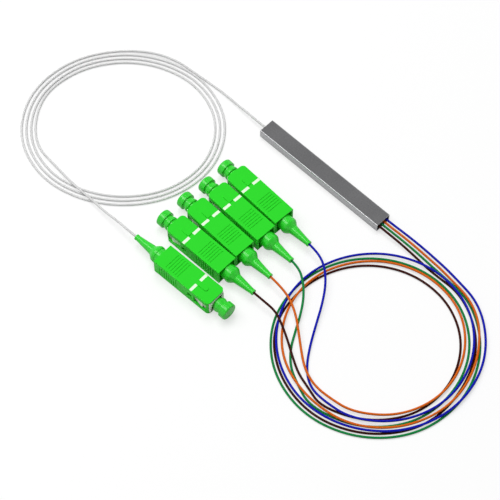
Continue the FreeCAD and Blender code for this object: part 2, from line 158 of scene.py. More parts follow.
# Outlines of the two turned pieces of a connector: how far along its axis from its rear face, and
# how far out from the axis.
BOOT_OUTLINE = (
    (5.0, 1.72), (5.0, 3.1), (-1.9, 3.1), (-1.9, 3.3), (-2.75, 3.3), (-3.15, 3.16), (-3.6, 2.88),
    (-4.1, 2.5), (-4.6, 2.12), (-4.8, 1.98), (-5.0, 1.9), (-8.9, 1.45), (-12.6, 1.08),
    (-12.6, 1.16), (-13.3, 1.16), (-13.3, 0.45), (-9.3, 0.45), (-1.0, 0.65), (-1.0, 1.72),
)
CAP_OUTLINE = (
    (24.8, 1.28), (24.8, 2.3), (28.05, 2.3), (28.05, 2.9), (28.7, 2.9), (29.7, 2.6), (30.5, 2.55),
    (30.5, 3.3), (32.6, 3.3), (32.9, 3.22), (33.12, 3.0), (33.2, 2.7), (33.2, 0.0), (28.6, 0.0),
    (28.6, 1.28),
)
TURNED_FACETS = 48

# A cord that lies on the floor has its centre this high.
ON_FLOOR = 0.45

# The four outputs wind clockwise round one centre. Each has the angle of its first point, and the
# distance from the centre and the height of that point and of each one a step further on.
RING_STEP = 30.0
OUTPUT_RING_CENTRE = (58.34, -36.48)
OUTPUT_RING = {
    "blue": (
        60.0,
        (
            39.8, 39.9, 38.9, 37.6, 36.5, 36.0, 34.9, 33.9, 33.2,
            33.1, 33.6, 34.7, 35.9, 35.7, 35.1, 33.9, 32.8,
        ),
        (1.3, *(1.4,) * 8, 0.8, 1.3, 1.95, 1.65, 1.45, 1.4, 1.4, 1.65),
    ),
    "orange": (
        60.0,
        (
            38.2, 37.2, 37.0, 36.2, 35.3, 33.3, 33.0, 31.9, 31.0,
            30.2, 30.5, 31.3, 32.6, 32.6, 32.4, 31.5, 30.2,
        ),
        (1.72, 1.45, *(1.4,) * 6, 1.45, 0.8, 0.9, *(1.4,) * 6),
    ),
    "green": (
        65.0,
        (
            37.4, 38.1, 38.8, 39.4, 39.0, 38.7, 37.5, 35.7, 33.2,
            31.8, 31.6, 32.5, 33.7, 34.3, 34.5, 35.2, 35.0, 34.8,
        ),
        (ON_FLOOR,) * 18,
    ),
    "brown": (
        70.0,
        (
            35.7, 36.6, 36.3, 37.9, 37.6, 37.4, 36.2, 35.0, 31.4,
            29.3, 28.5, 28.8, 29.9, 31.1, 31.9, 32.6, 32.4, 32.5,
        ),
        (ON_FLOOR,) * 18,
    ),
}

# The input cord winds counter-clockwise in a slightly oval ring. It has its full radius at the
# angle FROM and draws in by the pitch each turn from there. The shift and the oval are each a
# length and the angle at which it is greatest.
INPUT_RING_CENTRE = (-69.25, -37.87)
INPUT_RING_FIRST = 110.0
INPUT_RING_POINTS = 41
INPUT_RING_RADIUS = 38.08
INPUT_RING_FROM = 77.0
INPUT_RING_PITCH = 1.83
INPUT_RING_SHIFT = (1.29, 122.0)
INPUT_RING_OVAL = (2.33, 36.8)
# The first point lies higher, where the cord crosses its own turns.
INPUT_RING_FIRST_HEIGHT = 1.3
# The last two points lie so much further out, and so many degrees further on, to leave the ring.
INPUT_RING_LEAVE = {39: (0.8, 0.0), 40: (0.5, 4.0)}

# Edges that turn by more degrees than the first are rounded. Before that, points closer than the
# second, in metres, are merged, and faces that meet within the third, in degrees, become one.
EASED_OVER = 32.0
MERGE_WITHIN = 2e-6
FLAT_WITHIN = 1.0

# The grain of every surface: its patches of unlike gloss are so many times as wide as its grains,
# and their roughness lies so far to either side of the material's own.
PATCH_WIDTH = 18.0
ROUGHNESS_SPREAD = 0.06

# Where the camera stands, in metres, and the place on the floor that it looks at.
CAMERA_PLACE = (0.2124, -0.2559, 0.5229)
CAMERA_TARGET = (2.23, -41.74)

# The way to each lamp from what the camera looks at, how far off it hangs, and its length and
# width, both in metres.
KEY_LAMP = ((-0.3, 0.25, 0.92), 2.5, (1.2, 1.2))
STRIP_LAMP = ((-0.35, -0.26, 0.9), 1.0, (0.9, 0.4))

# The room as reflections show it: pale walls up to about 25 degrees, fading to a grey ceiling
# above 45, with the sines of those angles.
WALL = 0.8
CEILING = 0.285
WALL_UP_TO = 0.42
CEILING_FROM = 0.72

# Half the floor's width, in metres, and the part of its glow that shows in reflections.
FLOOR_REACH = 3.0
GLOW_REFLECTED = 0.35

WHITE = (1.0, 1.0, 1.0, 1.0)


def linear(code):
    """A colour written as sRGB hex, as the linear numbers that a shader takes."""
    parts = [int(code[i : i + 2], 16) / 255 for i in (0, 2, 4)]
    return tuple(p / 12.92 if p <= 0.04045 else ((p + 0.055) / 1.055) ** 2.4 for p in parts)


# ---- Settings


class SplitterCordSettings(bpy.types.PropertyGroup):
    """Size and jacket colours of the cords."""

    diameter: bpy.props.FloatProperty(
        name="Cord diameter",
        description="Outside of the tight buffer",
        default=0.0009,
        unit="LENGTH",
        precision=4,
    )
    input_colour: bpy.props.FloatVectorProperty(
        name="Input",
        description="Jacket of the input cord",
        default=linear("dcdcdc"),
        subtype="COLOR",
    )
    blue_colour: bpy.props.FloatVectorProperty(
        name="Output 1",
        description="Jacket of the first output",
        default=linear("1018b0"),
        subtype="COLOR",
    )
    orange_colour: bpy.props.FloatVectorProperty(
        name="Output 2",
        description="Jacket of the second output",
        default=linear("da6616"),
        subtype="COLOR",
    )
    green_colour: bpy.props.FloatVectorProperty(
        name="Output 3",
        description="Jacket of the third output",
        default=linear("138642"),
        subtype="COLOR",
    )
    brown_colour: bpy.props.FloatVectorProperty(
        name="Output 4",
        description="Jacket of the fourth output",
        default=linear("390a02"),
        subtype="COLOR",
    )


class SplitterShellSettings(bpy.types.PropertyGroup):
    """Moulded, pressed and turned pieces: edges and colours."""

    edge: bpy.props.FloatProperty(
        name="Edge",
        description="Rounding of the edges of the sleeve, the grips and the plug frames",
        default=0.0001,
        unit="LENGTH",
        precision=5,
    )
    fine_edge: bpy.props.FloatProperty(
        name="Fine edge",
        description="Rounding of the edges of ferrules, collars, rear bodies, boots and dust caps",
        default=0.00005,
        unit="LENGTH",
        precision=5,
    )
    grip_colour: bpy.props.FloatVectorProperty(
        name="Grip",
        description="Green of the grips",
        default=linear("2edb2c"),
        subtype="COLOR",
    )
    boot_colour: bpy.props.FloatVectorProperty(
        name="Boot",
        description="Green of the boots",
        default=linear("2ad82c"),
        subtype="COLOR",
    )
    cap_colour: bpy.props.FloatVectorProperty(
        name="Dust cap",
        description="Green of the dust caps",
        default=linear("2ad62a"),
        subtype="COLOR",
    )
    frame_colour: bpy.props.FloatVectorProperty(
        name="Plug frame",
        description="White of the plug frames",
        default=linear("f0f6ea"),
        subtype="COLOR",
    )
    steel_colour: bpy.props.FloatVectorProperty(
        name="Sleeve",
        description="Steel of the module's sleeve",
        default=linear("b4b4b6"),
        subtype="COLOR",
    )


class SplitterStageSettings(bpy.types.PropertyGroup):
    """Camera, lamps and floor."""

    lens: bpy.props.FloatProperty(
        name="Lens",
        description="Focal length on a 36 mm sensor",
        default=118.43,
        min=10.0,
    )
    key_power: bpy.props.FloatProperty(
        name="Key lamp",
        description="Power of the large soft lamp, in watts",
        default=30.0,
        min=0.0,
    )
    strip_power: bpy.props.FloatProperty(
        name="Strip lamp",
        description="Power of the long narrow lamp overhead, in watts",
        default=4.5,
        min=0.0,
    )
    sky_strength: bpy.props.FloatProperty(
        name="Room light",
        description="Light of the room on the object",
        default=0.24,
        min=0.0,
    )
    floor_share: bpy.props.FloatProperty(
        name="Floor glow",
        description="Share of the floor's white that takes no shadow",
        default=0.62,
        min=0.0,
        max=1.0,
    )


# ---- Making materials, meshes and pieces


def add_node(tree, kind, settings=None, sockets=None, links=None):
    """Add one node to a tree, set its properties and sockets, and link what feeds it."""
    node = tree.nodes.new(kind)
    for name, value in (settings or {}).items():
        setattr(node, name, value)
    for name, value in (sockets or {}).items():
        node.inputs[name].default_value = value
    for name, source in (links or {}).items():
        tree.links.new(source, node.inputs[name])
    return node


def new_material(name):
    """An empty node material, with its tree and its output node."""
    material = bpy.data.materials.new(name)
    material.use_nodes = True
    material.node_tree.nodes.clear()
    out = add_node(material.node_tree, "ShaderNodeOutputMaterial")
    return material, material.node_tree, out


def grained_surface(name, colour, roughness, grain, depth, shade, sockets):
    """A surface with a fine grain, and the shader's other sockets.

    Grain and depth are in millimetres, and shade is how far the colour wanders. One noise lifts the
    surface and shades its colour, and a wider one changes its roughness a little.
    """
    material, tree, out = new_material(name)
    place = add_node(tree, "ShaderNodeTexCoord")
    noise = add_node(
        tree, "ShaderNodeTexNoise",
        sockets={"Scale": 1.0 / (grain * MM), "Detail": 3.0, "Roughness": 0.6},
        links={"Vector": place.outputs["Object"]},
    )
    patches = add_node(
        tree, "ShaderNodeTexNoise",
        sockets={"Scale": 1.0 / (PATCH_WIDTH * grain * MM), "Detail": 2.0},
        links={"Vector": place.outputs["Object"]},
    )
    tones = add_node(
        tree, "ShaderNodeMix", {"data_type": "RGBA"},
        sockets={
            6: (*[c * (1.0 - shade) for c in colour], 1.0),
            7: (*[min(1.0, c * (1.0 + shade)) for c in colour], 1.0),
        },
        links={0: noise.outputs["Fac"]},
    )
    gloss = add_node(
        tree, "ShaderNodeMapRange",
        sockets={"To Min": roughness - ROUGHNESS_SPREAD, "To Max": roughness + ROUGHNESS_SPREAD},
        links={"Value": patches.outputs["Fac"]},
    )
    relief = add_node(
        tree, "ShaderNodeBump",
        sockets={"Strength": 1.0, "Distance": depth * MM},
        links={"Height": noise.outputs["Fac"]},
    )
    shader = add_node(
        tree, "ShaderNodeBsdfPrincipled", sockets=sockets,
        links={
            "Base Color": tones.outputs[2],
            "Roughness": gloss.outputs["Result"],
            "Normal": relief.outputs["Normal"],
        },
    )
    tree.links.new(shader.outputs["BSDF"], out.inputs["Surface"])
    return material


def rolled_steel():
    """Stainless steel strip, rolled matt: grey, softly reflecting, with a fine pickled grain.

    The real grain of about 0.05 mm is drawn at 0.5 mm, so that it shows as faint speckle.
    """
    return grained_surface(
        "Stainless steel strip, rolled matt", bpy.context.scene.splitter_shells.steel_colour,
        roughness=0.3, grain=0.5, depth=0.012, shade=0.35, sockets={"Metallic": 1.0},
    )


def potting_resin():
    """Epoxy potting resin, cast: dark grey, slightly uneven and half gloss."""
    return grained_surface(
        "Epoxy resin, cast", linear("3a3a3c"),
        roughness=0.35, grain=0.8, depth=0.02, shade=0.12, sockets={"IOR": 1.55},
    )


def moulded_green():
    """PBT, injection moulded in a spark-eroded tool: even bright green with a satin skin.

    The tool's texture of about 0.03 mm is drawn at 0.25 mm, where it just breaks up the gloss.
    """
    return grained_surface(
        "PBT, moulded green", bpy.context.scene.splitter_shells.grip_colour,
        roughness=0.42, grain=0.25, depth=0.003, shade=0.03,
        sockets={"IOR": 1.5, "Specular IOR Level": 0.15},
    )


def moulded_boot():
    """TPE, injection moulded: the same green, softer, with a polished tool's long highlight."""
    return grained_surface(
        "TPE, moulded green", bpy.context.scene.splitter_shells.boot_colour,
        roughness=0.25, grain=0.4, depth=0.001, shade=0.03,
        sockets={"IOR": 1.5, "Specular IOR Level": 0.6},
    )


def moulded_cap():
    """PE, injection moulded: the same green, a little waxy, glossier than the grips."""
    return grained_surface(
        "PE, moulded green", bpy.context.scene.splitter_shells.cap_colour,
        roughness=0.25, grain=0.4, depth=0.001, shade=0.03,
        sockets={"IOR": 1.5, "Specular IOR Level": 0.6},
    )


def moulded_white():
    """PBT, injection moulded: warm white and satin."""
    return grained_surface(
        "PBT, moulded white", bpy.context.scene.splitter_shells.frame_colour,
        roughness=0.4, grain=0.25, depth=0.002, shade=0.02, sockets={"IOR": 1.5},
    )


def printed_white():
    """Pad printing ink: a thin flat white that takes on a little of the green under it."""
    return grained_surface(
        "Printing ink, white", linear("ecffe4"),
        roughness=0.5, grain=0.25, depth=0.001, shade=0.02, sockets={"IOR": 1.5},
    )


def ground_ceramic():
    """Zirconia, centreless ground and lapped: cold white and glossy."""
    return grained_surface(
        "Zirconia, ground", linear("efeee9"),
        roughness=0.14, grain=0.1, depth=0.0004, shade=0.02, sockets={"IOR": 2.1},
    )


def nickel_plate():
    """Brass, turned and nickel plated: warm bright metal with faint turning marks."""
    return grained_surface(
        "Brass, nickel plated", linear("c9c4b8"),
        roughness=0.24, grain=0.2, depth=0.002, shade=0.05, sockets={"Metallic": 1.0},
    )


def drawn_wire():
    """Stainless spring wire, drawn: bright, with a slight draw grain."""
    return grained_surface(
        "Stainless wire, drawn", linear("bdbdbf"),
        roughness=0.26, grain=0.12, depth=0.001, shade=0.05, sockets={"Metallic": 1.0},
    )


def polished_silica():
    """Fused silica, sawn and polished: clear glass with faint saw haze on its sides."""
    return grained_surface(
        "Fused silica, polished", linear("f2f6f7"),
        roughness=0.1, grain=0.3, depth=0.0005, shade=0.01,
        sockets={"IOR": 1.46, "Transmission Weight": 1.0},
    )


def coated_glass():
    """Acrylate coated fibre: clear, faintly yellow and glossy."""
    return grained_surface(
        "Acrylate coated fibre", linear("e6e2cf"),
        roughness=0.2, grain=0.15, depth=0.0005, shade=0.02, sockets={"IOR": 1.5},
    )


def extruded_jacket(name, colour):
    """PVC tight buffer, extruded: even colour and a satin skin with a faint drawn unevenness."""
    return grained_surface(
        "PVC jacket, " + name, colour,
        roughness=0.38, grain=0.5, depth=0.004, shade=0.03,
        sockets={"IOR": 1.53, "Specular IOR Level": 0.1},
    )


def kept_material(maker, *settings):
    """The material that this function makes, made once for each first setting."""
    key = maker.__name__ + "".join(str(s) for s in settings[:1])
    found = [m for m in bpy.data.materials if m.get("made_by") == key]
    if found:
        return found[0]
    material = maker(*settings)
    material["made_by"] = key
    return material


def link_piece(name, data, material):
    """A new object at the origin with its mesh or curve and one material."""
    piece = bpy.data.objects.new(name, data)
    data.materials.clear()
    data.materials.append(material)
    bpy.context.scene.collection.objects.link(piece)
    return piece


def seat(piece, node):
    """Let a piece stand for a CAD node: it moves with the node's body, and the node is hidden."""
    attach(piece, body_of(frame["nodes"][node])[0])
    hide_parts(node)


def fill_smooth(mesh, shape):
    """Put a shape with its faces smooth into a mesh, and free it."""
    for face in shape.faces:
        face.smooth = True
    shape.to_mesh(mesh)
    shape.free()


def ease_edges(piece, width):
    """Round a piece's edges by this width and keep its flat faces flat in the light."""
    bevel = piece.modifiers.new("Eased edges", "BEVEL")
    bevel.width = width
    bevel.segments = 2
    bevel.limit_method = "ANGLE"
    bevel.angle_limit = math.radians(EASED_OVER)
    bevel.use_clamp_overlap = True
    normals = piece.modifiers.new("Flat faces", "WEIGHTED_NORMAL")
    normals.keep_sharp = True


def eased_copy(node, width, material):
    """A copy of a CAD node with its edges rounded, as a mould or a press leaves them."""
    mesh = frame["nodes"][node].data.copy()
    shape = bmesh.new()
    shape.from_mesh(mesh)
    bmesh.ops.remove_doubles(shape, verts=shape.verts, dist=MERGE_WITHIN)
    bmesh.ops.dissolve_limit(
        shape, angle_limit=math.radians(FLAT_WITHIN), verts=shape.verts, edges=shape.edges
    )
    fill_smooth(mesh, shape)
    piece = link_piece(node + "_dressed", mesh, material)
    ease_edges(piece, width)
    seat(piece, node)


def turned_piece(colour, part, outline, width, material):
    """A round piece of a connector: its outline taken once round the connector's axis."""
    place = connector_place(colour)
    shape = bmesh.new()
    rings = []
    for step in range(TURNED_FACETS):
        angle = 2.0 * math.pi * step / TURNED_FACETS
        side, up = math.cos(angle), math.sin(angle)
        rings.append([
            shape.verts.new(place @ Vector((x * MM, r * side * MM, (AXIS_HEIGHT + r * up) * MM)))
            for x, r in outline
        ])
    for ring, following in zip(rings, rings[1:] + rings[:1]):
        for here in range(len(outline)):
            there = (here + 1) % len(outline)
            if outline[here][1] > 0.0 or outline[there][1] > 0.0:
                shape.faces.new((ring[here], ring[there], following[there], following[here]))
    # The ends of the rings that lie on the axis become one point.
    bmesh.ops.remove_doubles(shape, verts=shape.verts, dist=MERGE_WITHIN)
    bmesh.ops.recalc_face_normals(shape, faces=shape.faces)
    mesh = bpy.data.meshes.new(colour + part)
    fill_smooth(mesh, shape)
    piece = link_piece(colour + part + "_dressed", mesh, material)
    ease_edges(piece, width)
    seat(piece, colour + part)


def dress(node, material):
    """Give a CAD node that stays as it is its material."""
    node = frame["nodes"][node]
    node.data.materials.clear()
    node.data.materials.append(material)


def connector_place(colour):
    """The matrix from a connector's own frame, its front along X, to the model's, in metres."""
    x, y, angle = CONNECTORS[colour]
    return Matrix.Translation((x * MM, y * MM, 0.0)) @ Matrix.Rotation(math.radians(angle), 4, "Z")


# ---- Geometry Nodes trees


def new_shape_tree(name, inputs):
    """A Geometry Nodes tree with named inputs and one mesh output, and its two end nodes."""
    tree = bpy.data.node_groups.new(name, "GeometryNodeTree")
    tree.is_modifier = True
    for label, (kind, default) in inputs.items():
        socket = tree.interface.new_socket(label, in_out="INPUT", socket_type=kind)
        if default is not None:
            socket.default_value = default
    tree.interface.new_socket("Mesh", in_out="OUTPUT", socket_type="NodeSocketGeometry")
    start = add_node(tree, "NodeGroupInput")
    end = add_node(tree, "NodeGroupOutput")
    return tree, start, end


def finish_shape_tree(tree, start, end, geometry):
    """Close a tree: place the shape, make its copies real, give it its material and output it."""
    placed = add_node(
        tree, "GeometryNodeTransform",
        links={
            "Geometry": geometry,
            "Translation": start.outputs["Place"],
            "Rotation": start.outputs["Turn"],
        },
    )
    real = add_node(
        tree, "GeometryNodeRealizeInstances", links={"Geometry": placed.outputs["Geometry"]}
    )
    finished = add_node(
        tree, "GeometryNodeSetMaterial",
        links={"Geometry": real.outputs["Geometry"], "Material": start.outputs["Material"]},
    )
    tree.links.new(finished.outputs["Geometry"], end.inputs["Mesh"])


ROW_INPUTS = {
    "First": ("NodeSocketVector", (0.0, 0.0, 0.0)),
    "Last": ("NodeSocketVector", (0.0, MM, 0.0)),
}
PLACE_INPUTS = {
    "Place": ("NodeSocketVector", (0.0, 0.0, 0.0)),
    "Turn": ("NodeSocketRotation", None),
    "Material": ("NodeSocketMaterial", None),
}


def coil_spring_tree():
    """Compression spring along X: its end turns lie closed and the pitch opens between them."""
    tree, start, end = new_shape_tree(
        "Compression spring",
        {
            "Length": ("NodeSocketFloat", SPRING_LENGTH * MM),
            "Mean Radius": ("NodeSocketFloat", SPRING_RADIUS * MM),
            "Wire Radius": ("NodeSocketFloat", SPRING_WIRE * MM),
            "Turns": ("NodeSocketFloat", SPRING_TURNS),
            "Points": ("NodeSocketInt", SPRING_POINTS),
            **PLACE_INPUTS,
        },
    )
    line = add_node(
        tree, "GeometryNodeMeshLine", {"mode": "OFFSET"},
        links={"Count": start.outputs["Points"]},
    )
    wire = add_node(tree, "GeometryNodeMeshToCurve", links={"Mesh": line.outputs["Mesh"]})
    index = add_node(tree, "GeometryNodeInputIndex")
    last = add_node(
        tree, "ShaderNodeMath", {"operation": "SUBTRACT"}, {1: 1.0}, {0: start.outputs["Points"]}
    )
    share = add_node(
        tree, "ShaderNodeMath", {"operation": "DIVIDE"},
        links={0: index.outputs["Index"], 1: last.outputs["Value"]},
    )
    turned = add_node(
        tree, "ShaderNodeMath", {"operation": "MULTIPLY"},
        links={0: share.outputs["Value"], 1: start.outputs["Turns"]},
    )
    angle = add_node(
        tree, "ShaderNodeMath", {"operation": "MULTIPLY"},
        {1: 2.0 * math.pi}, {0: turned.outputs["Value"]},
    )
    # Where every turn lies closed on the next, plus the opening that the middle turns share.
    thickness = add_node(
        tree, "ShaderNodeMath", {"operation": "MULTIPLY"},
        {1: 2.0}, {0: start.outputs["Wire Radius"]},
    )
    closed = add_node(
        tree, "ShaderNodeMath", {"operation": "MULTIPLY"},
        links={0: turned.outputs["Value"], 1: thickness.outputs["Value"]},
    )
    solid = add_node(
        tree, "ShaderNodeMath", {"operation": "MULTIPLY_ADD"},
        links={
            0: start.outputs["Turns"],
            1: thickness.outputs["Value"],
            2: thickness.outputs["Value"],
        },
    )
    spare = add_node(
        tree, "ShaderNodeMath", {"operation": "SUBTRACT"},
        links={0: start.outputs["Length"], 1: solid.outputs["Value"]},
    )
    # The first and the last sixth of the wire, one turn each, stay closed.
    opening = add_node(
        tree, "ShaderNodeMapRange", {"interpolation_type": "SMOOTHSTEP"},
        sockets={"From Min": 1.0 / 6.0, "From Max": 5.0 / 6.0},
        links={"Value": share.outputs["Value"], "To Max": spare.outputs["Value"]},
    )
    forward = add_node(
        tree, "ShaderNodeMath", {"operation": "ADD"},
        links={0: closed.outputs["Value"], 1: opening.outputs["Result"]},
    )
    seated = add_node(
        tree, "ShaderNodeMath", {"operation": "ADD"},
        links={0: forward.outputs["Value"], 1: start.outputs["Wire Radius"]},
    )
    cosine = add_node(
        tree, "ShaderNodeMath", {"operation": "COSINE"}, links={0: angle.outputs["Value"]}
    )
    sine = add_node(
        tree, "ShaderNodeMath", {"operation": "SINE"}, links={0: angle.outputs["Value"]}
    )
    side = add_node(
        tree, "ShaderNodeMath", {"operation": "MULTIPLY"},
        links={0: cosine.outputs["Value"], 1: start.outputs["Mean Radius"]},
    )
    up = add_node(
        tree, "ShaderNodeMath", {"operation": "MULTIPLY"},
        links={0: sine.outputs["Value"], 1: start.outputs["Mean Radius"]},
    )
    point = add_node(
        tree, "ShaderNodeCombineXYZ",
        links={"X": seated.outputs["Value"], "Y": side.outputs["Value"], "Z": up.outputs["Value"]},
    )
    wound = add_node(
        tree, "GeometryNodeSetPosition",
        links={"Geometry": wire.outputs["Curve"], "Position": point.outputs["Vector"]},
    )
    section = add_node(
        tree, "GeometryNodeCurvePrimitiveCircle", {"mode": "RADIUS"}, {"Resolution": 10},
        {"Radius": start.outputs["Wire Radius"]},
    )
    round_wire = add_node(
        tree, "GeometryNodeCurveToMesh", None, {"Fill Caps": True},
        {"Curve": wound.outputs["Geometry"], "Profile Curve": section.outputs["Curve"]},
    )
    smooth = add_node(
        tree, "GeometryNodeSetShadeSmooth", links={"Geometry": round_wire.outputs["Mesh"]}
    )
    finish_shape_tree(tree, start, end, smooth.outputs["Geometry"])
    return tree


def finish_row(tree, start, end, shape):
    """Close a tree with copies of a shape on a line, Count of them from First to Last."""
    line = add_node(
        tree, "GeometryNodeMeshLine", {"mode": "END_POINTS"},
        links={
            "Count": start.outputs["Count"],
            "Start Location": start.outputs["First"],
            "Offset": start.outputs["Last"],
        },
    )
    row = add_node(
        tree, "GeometryNodeInstanceOnPoints",
        links={"Points": line.outputs["Mesh"], "Instance": shape},
    )
    finish_shape_tree(tree, start, end, row.outputs["Instances"])


def row_tree():
    """Like blocks in a row, such as the two marks across a grip."""
    tree, start, end = new_shape_tree(
        "Row of blocks",
        {
            "Count": ("NodeSocketInt", 2),
            "Size": ("NodeSocketVector", tuple(length * MM for length in MARK_SIZE)),
            **ROW_INPUTS,
            **PLACE_INPUTS,
        },
    )
    block = add_node(tree, "GeometryNodeMeshCube", links={"Size": start.outputs["Size"]})
    finish_row(tree, start, end, block.outputs["Mesh"])
    return tree


def fibre_row_tree():
    """Round fibres side by side along X, such as the four of a ribbon."""
    tree, start, end = new_shape_tree(
        "Row of fibres",
        {
            "Count": ("NodeSocketInt", RIBBON_FIBRES),
            "Radius": ("NodeSocketFloat", 0.125 * MM),
            "Length": ("NodeSocketFloat", 4.0 * MM),
            **ROW_INPUTS,
            **PLACE_INPUTS,
        },
    )
    fibre = add_node(
        tree, "GeometryNodeMeshCylinder", None, {"Vertices": 16},
        {"Radius": start.outputs["Radius"], "Depth": start.outputs["Length"]},
    )
    level = add_node(
        tree, "GeometryNodeTransform", None, {"Rotation": (0.0, math.pi / 2.0, 0.0)},
        {"Geometry": fibre.outputs["Mesh"]},
    )
    smooth = add_node(
        tree, "GeometryNodeSetShadeSmooth", links={"Geometry": level.outputs["Geometry"]}
    )
    finish_row(tree, start, end, smooth.outputs["Geometry"])
    return tree


def kept_tree(maker):
    """The tree that this function makes, made once."""
    found = [t for t in bpy.data.node_groups if t.get("made_by") == maker.__name__]
    if found:
        return found[0]
    tree = maker()
    tree["made_by"] = maker.__name__
    return tree


def shape_from_tree(name, maker, values, material):
    """Run a tree with these inputs and keep what it makes as a plain mesh piece."""
    tree = kept_tree(maker)
    piece = link_piece(name, bpy.data.meshes.new(name), material)
    modifier = piece.modifiers.new(tree.name, "NODES")
    modifier.node_group = tree
    for socket in tree.interface.items_tree:
        if socket.in_out == "INPUT" and socket.name in values:
            modifier[socket.identifier] = values[socket.name]
        if socket.in_out == "INPUT" and socket.name == "Material":
            modifier[socket.identifier] = material
    evaluated = piece.evaluated_get(bpy.context.evaluated_depsgraph_get())
    mesh = bpy.data.meshes.new_from_object(evaluated)
    piece.modifiers.remove(modifier)
    piece.data = mesh
    mesh.name = name
    mesh.materials.clear()
    mesh.materials.append(material)
    return piece


# ---- Cords


def ring_point(centre, radius, degrees, height):
    """A point of a turn, pushed out by what the spline cuts inside its points."""
    reach = radius / math.cos(math.radians(RING_STEP / 2.0))
    x = centre[0] + reach * math.cos(math.radians(degrees))
    y = centre[1] + reach * math.sin(math.radians(degrees))
    return x, y, height


def output_ring_points(colour):
    """Points of an output's turns."""
    first, radii, heights = OUTPUT_RING[colour]
    return [
        ring_point(OUTPUT_RING_CENTRE, radius, first - step * RING_STEP, height)
        for step, (radius, height) in enumerate(zip(radii, heights))
    ]


def input_ring_points():
    """Points of the input cord's turns."""
    shift, shift_angle = INPUT_RING_SHIFT
    oval, oval_angle = INPUT_RING_OVAL
    points = []
    for step in range(INPUT_RING_POINTS):
        further_out, further_on = INPUT_RING_LEAVE.get(step, (0.0, 0.0))
        degrees = INPUT_RING_FIRST + step * RING_STEP + further_on
        turns = (degrees - INPUT_RING_FROM) / 360.0
        radius = INPUT_RING_RADIUS - INPUT_RING_PITCH * turns + further_out
        radius += shift * math.cos(math.radians(degrees - shift_angle))
        radius += oval * math.cos(math.radians(2.0 * (degrees - oval_angle)))
        height = INPUT_RING_FIRST_HEIGHT if step == 0 else ON_FLOOR
        points.append(ring_point(INPUT_RING_CENTRE, radius, degrees, height))
    return points


def exit_point(colour, x):
    """The point of a cord this far out along the sleeve, at the end that the cord leaves."""
    return (-x if colour == "input" else x, EXIT_Y[colour], EXIT_HEIGHT)


def cord_points(colour):
    """The control points of a cord, from the seal in the sleeve to its boot's inside, in metres."""
    points = [exit_point(colour, x) for x in EXIT_X]
    points += START_ROUTE[colour]
    points += input_ring_points() if colour == "input" else output_ring_points(colour)
    points += END_ROUTE[colour]
    x, y, angle = CONNECTORS[colour]
    for behind in (BOOT_END + BOOT_EXIT_RUN[colour], BOOT_END):
        points.append((
            x - behind * math.cos(math.radians(angle)),
            y - behind * math.sin(math.radians(angle)),
            AXIS_HEIGHT,
        ))
    return [tuple(c * MM for c in p) for p in points]


class SPLITTER_OT_cords(bpy.types.Operator):
    """Lay the input cord and the four output cords in their coils"""

    bl_idname = "splitter.cords"
    bl_label = "Cords"

    def execute(self, context):
        settings = context.scene.splitter_cords
        for colour in CONNECTORS:
            curve = bpy.data.curves.new(colour + "_cord", "CURVE")
            curve.dimensions = "3D"
            curve.bevel_depth = settings.diameter / 2.0
            curve.bevel_resolution = 3
            curve.use_fill_caps = True
            points = cord_points(colour)
            spline = curve.splines.new("NURBS")
            spline.points.add(len(points) - 1)
            for point, place in zip(spline.points, points):
                point.co = (*place, 1.0)
            spline.order_u = 3
            spline.use_endpoint_u = True
            spline.resolution_u = 10
            jacket = kept_material(extruded_jacket, colour, getattr(settings, colour + "_colour"))
            cord = link_piece(colour + "_cord", curve, jacket)
            coil = "input_coil" if colour == "input" else "output_coil"
            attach(cord, "module")
            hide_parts(colour + "_cord_start", colour + "_cord_end", coil)
        return {"FINISHED"}


class SPLITTER_OT_declare_cords(bpy.types.Operator):
    """A step that does nothing: no cord's length, exit or connector is declared"""

    bl_idname = "splitter.declare_cords"
    bl_label = "Declare cords"

    def execute(self, context):
        return {"FINISHED"}


# ---- Module


class SPLITTER_OT_module(bpy.types.Operator):
    """Dress the steel sleeve, its resin seals and the glass parts that it holds"""

    bl_idname = "splitter.module"
    bl_label = "Module"

    def execute(self, context):
        settings = context.scene.splitter_shells
        eased_copy("steel_sleeve", settings.edge, kept_material(rolled_steel))
        for node in ("input_seal", "output_seal"):
            dress(node, kept_material(potting_resin))
        for node in ("input_fibre_block", "splitter_chip", "output_fibre_array"):
            dress(node, kept_material(polished_silica))
        dress("input_bare_fibre", kept_material(coated_glass))
        low, high = (Vector(corner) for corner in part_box("output_fibre_ribbon"))
        middle = (low + high) / 2.0
        step = (high.y - low.y) / RIBBON_FIBRES
        aside = (RIBBON_FIBRES - 1) / 2.0 * step
        ribbon = shape_from_tree(
            "output_fibre_ribbon_fibres", fibre_row_tree,
            {
                "Count": RIBBON_FIBRES,
                "Radius": step / 2.0,
                "Length": high.x - low.x,
                "First": (middle.x, middle.y - aside, middle.z),
                "Last": (middle.x, middle.y + aside, middle.z),
            },
            kept_material(coated_glass),
        )
        seat(ribbon, "output_fibre_ribbon")
        return {"FINISHED"}


# ---- Connectors


